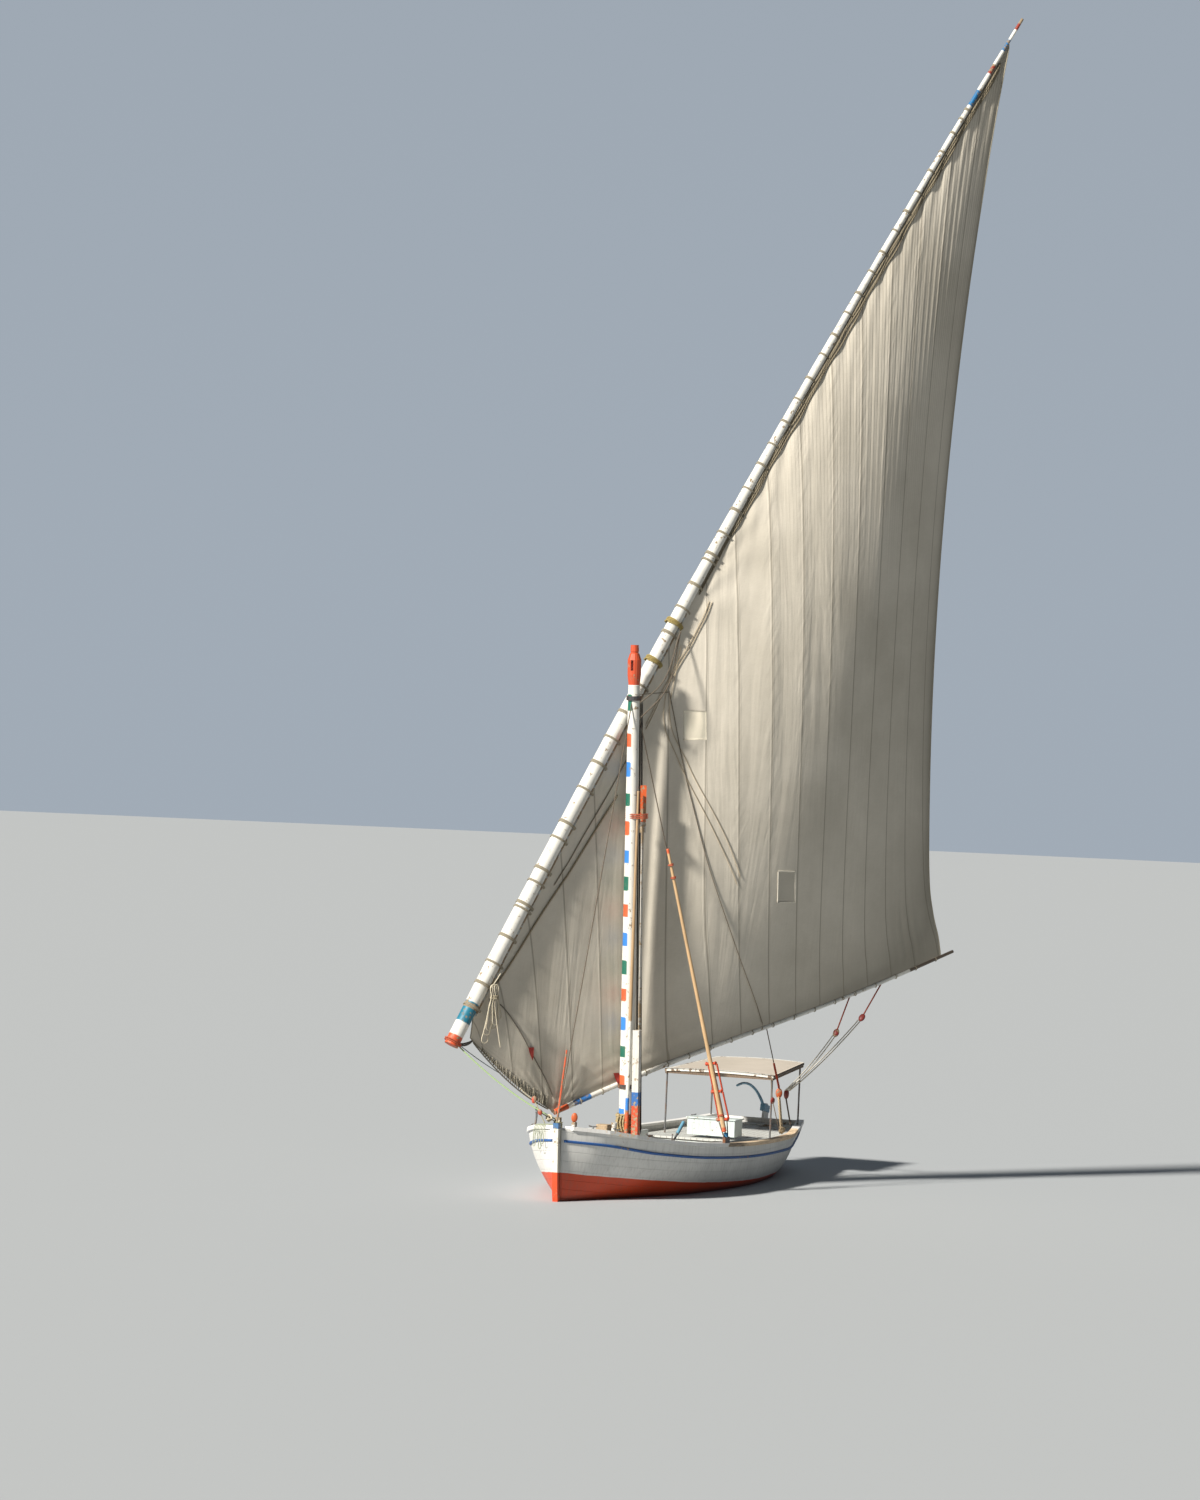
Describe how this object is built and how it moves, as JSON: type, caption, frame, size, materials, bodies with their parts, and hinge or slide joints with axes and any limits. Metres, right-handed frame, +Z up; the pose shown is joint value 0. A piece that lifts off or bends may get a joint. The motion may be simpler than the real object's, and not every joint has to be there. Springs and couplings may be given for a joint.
{
  "type": "river felucca sailing boat",
  "caption": "Open wooden river sailing boat with a raked mast, a lateen yard, boom and sail, canopy, rudder and centreboard.",
  "frame": {"origin": "on the centreline amidships, at the waterline", "axes": "+X towards the bow, +Y to port, +Z up"},
  "size_m": [10.1447, 6.4426, 20.5649],
  "materials": {
    "white_paint": "painted, weathered",
    "blue_paint": "painted",
    "red_paint": "painted",
    "bare_wood": "worn, bare",
    "pole_wood": "oiled",
    "sailcloth": "cotton canvas",
    "rope": "laid rope",
    "iron": "dull dark paint",
    "mattress": "woven cover"
  },
  "bodies": {
    "hull": {"bench_port": "white_paint", "bench_starboard": "white_paint", "bow_bitt": "bare_wood", "bulkhead_aft": "white_paint", "bulkhead_fore": "white_paint", "canopy_frame": "bare_wood", "canopy_post_aft_port": "iron", "canopy_post_aft_starboard": "iron", "canopy_post_fore_port": "iron", "canopy_post_fore_starboard": "iron", "canopy_roof": "sailcloth", "cap_rail_port": "white_paint", "cap_rail_starboard": "white_paint", "centreboard_case": "white_paint", "coaming_port": "white_paint", "coaming_starboard": "white_paint", "foredeck": "white_paint", "forestay": "rope", "gudgeon_lower": "iron", "gudgeon_upper": "iron", "hull_shell": "white_paint", "keel": "red_paint", "mast": "white_paint", "mast_head": "red_paint", "mast_partner": "white_paint", "mast_post": "white_paint", "mast_step": "bare_wood", "mattress_port": "mattress", "mattress_starboard": "mattress", "oar": "pole_wood", "punt_pole": "pole_wood", "rub_rail_port": "blue_paint", "rub_rail_starboard": "blue_paint", "shroud": "rope", "shroud_eye_port": "iron", "shroud_eye_starboard": "iron", "side_deck_port": "white_paint", "side_deck_starboard": "white_paint", "sole": "bare_wood", "spare_pole": "pole_wood", "stem_post": "white_paint", "stern_deck": "white_paint", "transom": "white_paint"},
    "rig": {"yard_lower": "white_paint", "yard_upper": "white_paint", "yard_batten": "white_paint", "boom": "white_paint", "tack_stick": "red_paint", "sail": "sailcloth", "yard_parrel": "rope", "boom_parrel": "rope"},
    "rudder": {"rudder": "red_paint", "tiller": "iron"},
    "centreboard": {"centreboard": "iron"}
  },
  "joints": [
    {"name": "rig_swing", "type": "hinge", "parent": "hull", "child": "rig", "pos_m": [1.7, 0, 0], "axis": [0.0698, 0, 0.9976], "range_deg": [-12, 28]},
    {"name": "rudder_steer", "type": "hinge", "parent": "hull", "child": "rudder", "pos_m": [-4.627, 0, 0], "axis": [-0.2062, 0, 0.9785], "range_deg": [-50, 50]},
    {"name": "centreboard_swing", "type": "hinge", "parent": "hull", "child": "centreboard", "pos_m": [-0.215, 0, -0.52], "axis": [0, -1, 0], "range_deg": [0, 55]}
  ]
}
